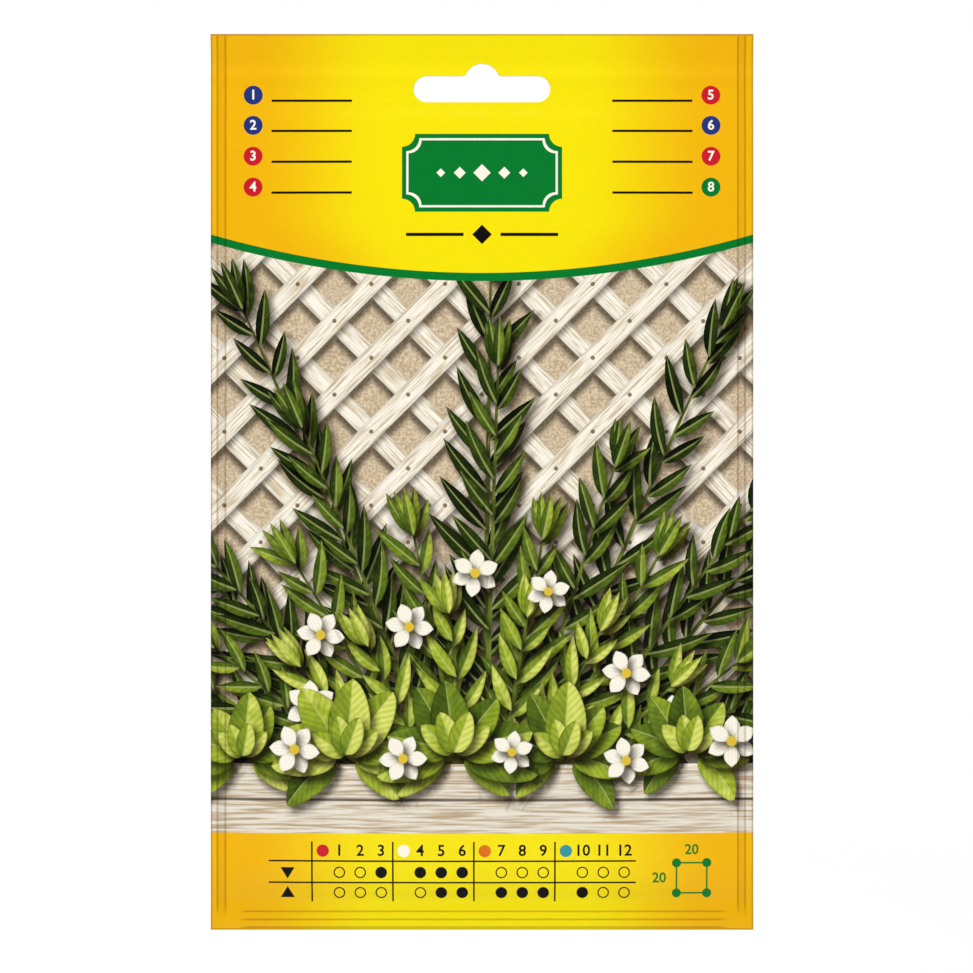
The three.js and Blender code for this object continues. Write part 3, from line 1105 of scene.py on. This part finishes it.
def plank_ink(tree, place):
    """Whitewashed boards along the foot of the picture, with grain, a gap and a bright upper edge."""
    x, _, z = parts(tree, place)
    wood = whitewashed(tree, (x, 0.09), (z, 1.9), 6, (0.40, 0.66), (248, 240, 224), (196, 172, 136))
    down = calc(tree, "SUBTRACT", PLANK_TOP_MM, z)
    wood = toned(tree, wood, soft_step(tree, down, 0.5, 0.9, 1.0, 0.86))
    from_gap = calc(tree, "ABSOLUTE", calc(tree, "SUBTRACT", down, BOARD_GAP_DOWN_MM))
    gap = soft_step(tree, from_gap, 0.10, 0.45, 0.85, 0.0)
    return in_leaf_shade(tree, blend_colours(tree, gap, wood, srgb(70, 52, 34)))


LEAF_TONES = (
    (0.0, (13, 22, 4)),
    (0.3, (42, 61, 11)),
    (0.6, (96, 120, 30)),
    (0.85, (160, 178, 48)),
    (1.0, (214, 220, 104)),
)
VEIN_PITCH_MM = 1.5


def leaf_ink(tree, place):
    """A leaf from its own frame: a tone from dark to yellow green, a fold along a pale midrib with
    one half in the light, faint side veins, a darker edge and the shadows of the leaves above."""
    along, across, inside = parts(tree, attribute(tree, "leaf_place", "Vector"))
    tone, shade, share = parts(tree, attribute(tree, "leaf_look", "Vector"))
    light = attribute(tree, "leaf_light")
    patches = calc(tree, "MULTIPLY", calc(tree, "SUBTRACT", noise(tree, place, 0.45, 3), 0.5), 0.4)
    lit = calc(tree, "ADD", calc(tree, "ADD", tone, patches), calc(tree, "MULTIPLY", share, 0.16))
    ramp = tree.nodes.new("ShaderNodeValToRGB")
    while len(ramp.color_ramp.elements) < len(LEAF_TONES):
        ramp.color_ramp.elements.new(0.5)
    for stop, (position, colour) in zip(ramp.color_ramp.elements, LEAF_TONES):
        stop.position = position
        stop.color = srgb(*colour)
    halves = calc(tree, "MULTIPLY", soft_step(tree, across, -0.3, 0.3, -1.0, 1.0), light)
    sheen = soft_step(tree, halves, -0.9, 0.9, -0.14, 0.16)
    tree.links.new(calc(tree, "ADD", lit, sheen), ramp.inputs["Fac"])
    colour = ramp.outputs["Color"]
    beside = calc(tree, "ABSOLUTE", across)
    slanted = calc(tree, "SUBTRACT", along, calc(tree, "MULTIPLY", beside, 1.1))
    phase = calc(tree, "FRACT", calc(tree, "DIVIDE", slanted, VEIN_PITCH_MM))
    from_vein = calc(tree, "ABSOLUTE", calc(tree, "SUBTRACT", phase, 0.5))
    quilted = soft_step(tree, from_vein, 0.05, 0.5, 1.05, 0.84)
    colour = toned(tree, colour, quilted)
    pale = blend_colours(tree, 0.5, ramp.outputs["Color"], srgb(206, 214, 130))
    rib_width = calc(tree, "SUBTRACT", 0.24, calc(tree, "MULTIPLY", share, 0.16))
    rib = calc(tree, "LESS_THAN", beside, rib_width)
    colour = blend_colours(tree, calc(tree, "MULTIPLY", rib, 0.7), colour, pale)
    edge = soft_step(tree, inside, 0.0, 0.4, 0.62, 1.0)
    return shaded(tree, toned(tree, colour, edge), shade)


def petal_ink(tree, place):
    """A cream petal, greener towards the middle of its flower and with faint lines along it."""
    along, across, inside = parts(tree, attribute(tree, "leaf_place", "Vector"))
    colour = blend_colours(tree, soft_step(tree, along, 0.2, 1.7), srgb(196, 196, 110), srgb(250, 244, 228))
    streak = calc(tree, "ABSOLUTE", calc(tree, "SINE", calc(tree, "MULTIPLY", across, 5.0)))
    colour = toned(tree, colour, soft_step(tree, streak, 0.0, 0.5, 0.86, 1.0))
    return in_leaf_shade(tree, toned(tree, colour, soft_step(tree, inside, 0.0, 0.35, 0.78, 1.0)))


def stem_ink(tree, place):
    stems = blend_colours(tree, noise(tree, place, 0.9, 2), srgb(84, 104, 34), srgb(126, 138, 54))
    return in_leaf_shade(tree, stems)


def bare_film(tree, place):
    """The unprinted inside of the laminate and its cut edges: silvery grey white."""
    return blend_colours(tree, noise(tree, place, 0.6, 2), srgb(226, 226, 222), srgb(206, 206, 202))


# The picture's leaves lie over each other in painted light from the upper left. Where the light comes
# from is an angle from upright, as a leaf's lean is.
SHADOW_FALL_MM = (0.8, -1.0)
SHADOW_SOFT_MM = 1.2
LEAF_SHADOW = 0.85
GROUND_SHADOW = 0.7
BOARD_SHADOW = 0.85
LIGHT_FROM = -0.7


def paint_leaves(piece, corners, covering, shapes):
    """Writes each printed corner's place in its leaf, and the shadow that falls on it from leaves
    that lie above it."""
    place = np.zeros((len(piece.data.loops), 3))
    look = np.zeros((len(piece.data.loops), 3))
    light = np.zeros(len(piece.data.loops))

    def shade_more(under, shade):
        look[under, 1] = 1 - (1 - look[under, 1]) * (1 - shade)

    for number, printed in enumerate(shapes):
        leaf = printed.get("leaf")
        if leaf is None:
            continue
        on_leaf = np.nonzero(covering == number)[0]
        u, t, inside = in_leaf(corners[on_leaf], leaf)
        place[on_leaf] = np.column_stack([u * leaf["length"], t, inside])
        look[on_leaf, 0] = leaf["tone"]
        look[on_leaf, 2] = u
        light[on_leaf] = math.sin(leaf["angle"] - LIGHT_FROM)
        near = np.hypot(*(corners - np.array(leaf["base"])).T) < leaf["length"] + 3
        below = np.nonzero(near & (covering < number))[0]
        inside = in_leaf(corners[below] - np.array(SHADOW_FALL_MM), leaf)[2]
        shade_more(below, LEAF_SHADOW * smooth(-SHADOW_SOFT_MM, 0.6, inside))
    ground = np.nonzero(covering == 0)[0]
    away = np.hypot(corners[ground, 0], 0.8 * (corners[ground, 1] - PICTURE_FOOT_MM))
    shade_more(ground, GROUND_SHADOW * smooth(50, 24, away))
    plank = next(i for i, printed in enumerate(shapes) if printed["ink"] == "plank")
    behind = np.nonzero(covering < plank)[0]
    shade_more(behind, BOARD_SHADOW * smooth(PLANK_TOP_MM + 5.0, PLANK_TOP_MM, corners[behind, 1]))
    for name, values in (("leaf_place", place), ("leaf_look", look)):
        written = piece.data.attributes.new(name, "FLOAT_VECTOR", "CORNER")
        written.data.foreach_set("vector", values.ravel())
    written = piece.data.attributes.new("leaf_light", "FLOAT", "CORNER")
    written.data.foreach_set("value", light)


FLAT_INKS = {
    "pollen": (224, 190, 60),
    "green": (0, 122, 44),
    "cream": (250, 246, 228),
    "black": (14, 12, 9),
    "red": (204, 26, 40),
    "navy": (36, 52, 124),
    "orange": (224, 112, 22),
    "teal": (52, 150, 160),
}

front_inks = {
    "ground": film_ink("yellow_print", yellow_ink),
    "trellis": film_ink("trellis_print", trellis_ink),
    "leaf": film_ink("leaf_print", leaf_ink),
    "stem": film_ink("stem_print", stem_ink),
    "plank": film_ink("plank_print", plank_ink),
    "petal": film_ink("petal_print", petal_ink),
}
for name, colour in FLAT_INKS.items():
    front_inks[name] = film_ink(f"{name}_print", flat_ink(*colour))
front_inks["film"] = film_ink("bare_film", bare_film)

front_shapes = [
    bar(left, PICTURE_FOOT_MM - 1, right, STRIPE_EDGE_MM + 1, "trellis"),
    *picture_shapes(),
    *header_and_foot_shapes(),
    *plate_shapes(),
    *write_in_shapes(),
    *month_chart(),
    *bed_sign(x=38.6, z=bottom + 9.6, size=5.6, ink="green"),
]

# The grid is finest where painted shadows fall.
front_grid = []
for spacing, low, high in (
    (0.95, PICTURE_FOOT_MM, PLANK_TOP_MM),
    (1.15, PLANK_TOP_MM, STRIPE_EDGE_MM),
    (1.4, STRIPE_EDGE_MM, top),
    (1.6, bottom, PICTURE_FOOT_MM),
):
    front_grid += grid_of(spacing, (left, low), (right, high))

front_web, front_corners, front_covering = web_object(
    "front_web_print", front_face, -1, front_shapes, front_grid, front_inks
)
paint_leaves(front_web, front_corners, front_covering, front_shapes)
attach(front_web, "root")
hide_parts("front_web")


# The back web is the same film, welded to the front one all round. It swells the other way, and it is
# a little flattened where the packet rests when it lies down. Its print isn't seen in the photograph:
# a plain cream panel has growing symbols, a drawing of the spacing and ruled lines for notes.
BACK_SWELL_MM = 2.5
BACK_FLAT_MM = 2.1
BACK_FLAT_SOFTNESS = 5.0


def back_face(x, z):
    """The Y of the back web's printed face, in millimetres."""
    flat = SEAM_MM / 2 + FILM_MM + LINE_DEPTH_MM * pressed(x, z, FOOT_LINE_SHARE) - sealed_fold(z)
    swell = BACK_SWELL_MM * fullness(x, z)
    capped = np.log(np.exp(-BACK_FLAT_SOFTNESS * swell) + math.exp(-BACK_FLAT_SOFTNESS * BACK_FLAT_MM))
    nothing = math.log(1 + math.exp(-BACK_FLAT_SOFTNESS * BACK_FLAT_MM))
    return flat + (nothing - capped) / BACK_FLAT_SOFTNESS + film_waves(x, z, 2.3)


def rounded(x0, z0, x1, z1, radius):
    """A box with round corners."""
    quarter = math.pi / 2
    corners = ((x1, z0, -1, 1, -1), (x1, z1, -1, -1, 0), (x0, z1, 1, -1, 1), (x0, z0, 1, 1, 2))
    outline = []
    for x, z, to_x, to_z, turn in corners:
        centre = (x + to_x * radius, z + to_z * radius)
        outline += arc(centre, radius, turn * quarter, (turn + 1) * quarter, 6)
    return outline


def blade(x, z, angle, length, width, ink):
    """A small plain leaf that starts at a point."""
    made = leaf_shape((x, z), angle, length, width, 0.0, fullest=0.9)
    return {"outline": made["outline"], "ink": ink}


def sprout_shapes(x, ground, tall, ink):
    made = [bar(x - 0.3, ground - 0.6, x + 0.3, ground + 0.7 * tall, ink)]
    for side in (-1, 1):
        made.append(blade(x, ground + 0.62 * tall, side * 0.75, 0.62 * tall, 0.26 * tall, ink))
    return made + [blade(x, ground + 0.62 * tall, 0.0, 0.45 * tall, 0.18 * tall, ink)]


SYMBOLS_MM = (-26, 0, 26)
SYMBOL_DISC_MM = 5.2
SUN_DISC_MM = 1.7
SUN_RAYS = 10
SUN_RAY_SPAN_MM = (2.3, 4.0)


def symbol_shapes(level):
    """Full sun, water and a seedling, as plain signs on green discs."""
    made = [disc(x, level, SYMBOL_DISC_MM, "green", 40) for x in SYMBOLS_MM]
    sun = np.array([SYMBOLS_MM[0], level])
    made.append(disc(*sun, SUN_DISC_MM, "cream", 24))
    near, far = SUN_RAY_SPAN_MM
    for ray in range(SUN_RAYS):
        out, aside = ways(math.pi / 2 - 2 * math.pi * ray / SUN_RAYS)
        corners = (sun + near * out + 0.27 * aside, sun + far * out, sun + near * out - 0.27 * aside)
        made.append(shape([tuple(corner) for corner in corners], "cream"))
    drop = arc((0, level - 0.9), 2.3, -math.pi * 1.15, math.pi * 0.15, 20)
    made.append(shape([*drop, (0, level + 3.9)], "cream"))
    return made + sprout_shapes(SYMBOLS_MM[2], level - 3.2, 6.4, "cream")


BED_HALF_MM = 37
BED_DEPTH_MM = 11
BED_DRAW = 4
CRUMBS = 46
SPROUTS_MM = (-27, -9, 9, 27)
SPROUT_MM = 9.5
SOWN_SEEDS_MM = (-18, 0, 18)
ARROWS_MM = (-18, 18)


def spacing_shapes(surface):
    """Seedlings in a bed of soil with seeds in it, and above them arrows for their spacing."""
    bed = rounded(-BED_HALF_MM, surface - BED_DEPTH_MM, BED_HALF_MM, surface, 1.2)
    made = [shape(bed, "soil")]
    rng = random.Random(BED_DRAW)
    for _ in range(CRUMBS):
        x, z = rng.uniform(-35.5, 35.5), surface - rng.uniform(1.2, 10)
        made.append(disc(x, z, rng.uniform(0.25, 0.6), "crumb", 8))
    for x in SPROUTS_MM:
        made += sprout_shapes(x, surface, SPROUT_MM, "green")
    for x in SOWN_SEEDS_MM:
        made.append(disc(x, surface - 4.2, 1.0, "black", 14))
        made.append(disc(x - 0.25, surface - 3.9, 0.35, "cream", 8))
    level = surface + 12.6
    for x in ARROWS_MM:
        for side in (-1, 1):
            made.append(rule(x + side * 2.6, x + side * 8.0, level, 0.14, "black"))
            tip = x + side * 8.6
            barbs = [(tip - side * 1.6, level + 0.8), (tip - side * 1.6, level - 0.8)]
            made.append(shape([(tip, level), *barbs], "black"))
        made += numerals("20", 3.4, x, level, "black")
    return made


def note_shapes(highest, count, pitch):
    made = []
    for row in range(count):
        level = highest - row * pitch
        made += numerals(str(row + 1), 3.0, -35.2, level + 1.1, "green")
        made.append(rule(-32, 36.4, level, 0.12, "black"))
    return made


def tick_box_shapes(level):
    made = []
    for box in range(12):
        x = -33 + 6.0 * box
        for half, radius, ink in ((1.9, 0.5, "green"), (1.6, 0.35, "cream")):
            made.append(shape(rounded(x - half, level - half, x + half, level + half, radius), ink))
        made += numerals(str(box + 1), 2.4, x, level - 4.0, "black")
    return made


def from_behind(shapes):
    """The same shapes for the back, which is read from the other side."""
    return [s | {"outline": counterclockwise([(-x, z) for x, z in s["outline"]])} for s in shapes]


back_inks = {name: front_inks[name] for name in ("ground", "green", "cream", "black")}
back_inks |= {
    "soil": film_ink("soil_print", flat_ink(104, 70, 44)),
    "crumb": film_ink("crumb_print", flat_ink(150, 112, 78)),
    "film": front_inks["film"],
}
panel_top, panel_foot = -44.5, bottom + 13.5
back_shapes = from_behind([
    stripe_shape(),
    shape(rounded(-42, panel_foot, 42, panel_top, 4.0), "green"),
    shape(rounded(-41.3, panel_foot + 0.7, 41.3, panel_top - 0.7, 3.4), "cream"),
    *symbol_shapes(panel_top - 9.5),
    *spacing_shapes(panel_top - 34),
    *note_shapes(panel_top - 54.5, count=5, pitch=6.8),
    *tick_box_shapes(panel_foot + 9.0),
])
back_grid = grid_of(1.7, (left, bottom), (right, top))
back_web, _, _ = web_object("back_web_print", back_face, 1, back_shapes, back_grid, back_inks)
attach(back_web, "root")
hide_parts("back_web")


# The seeds are small, angular and matt black, and lie loose in the foot of the pouch. They keep their
# form from the drawing, and have the wrinkled coat of onion-family seed.
COAT_ROUGHNESS = 0.62
COAT_GLOSS = 0.35
WRINKLE_SCALE = 1900.0
WRINKLE_STRENGTH = 0.5
WRINKLE_MM = 0.08

seed_coat, tree, finish = new_finish("seed_coat", COAT_ROUGHNESS)
finish["Specular IOR Level"].default_value = COAT_GLOSS
seed_place = add_node(tree, "ShaderNodeTexCoord").outputs["Object"]
wrinkles = noise(tree, seed_place, WRINKLE_SCALE, 5)
dusty = blend_colours(tree, wrinkles, srgb(20, 18, 17), srgb(58, 53, 48))
tree.links.new(dusty, finish["Base Color"])
tree.links.new(bump(tree, wrinkles, WRINKLE_STRENGTH, WRINKLE_MM), finish["Normal"])
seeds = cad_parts["seeds"]
seeds.data.materials.clear()
seeds.data.materials.append(seed_coat)
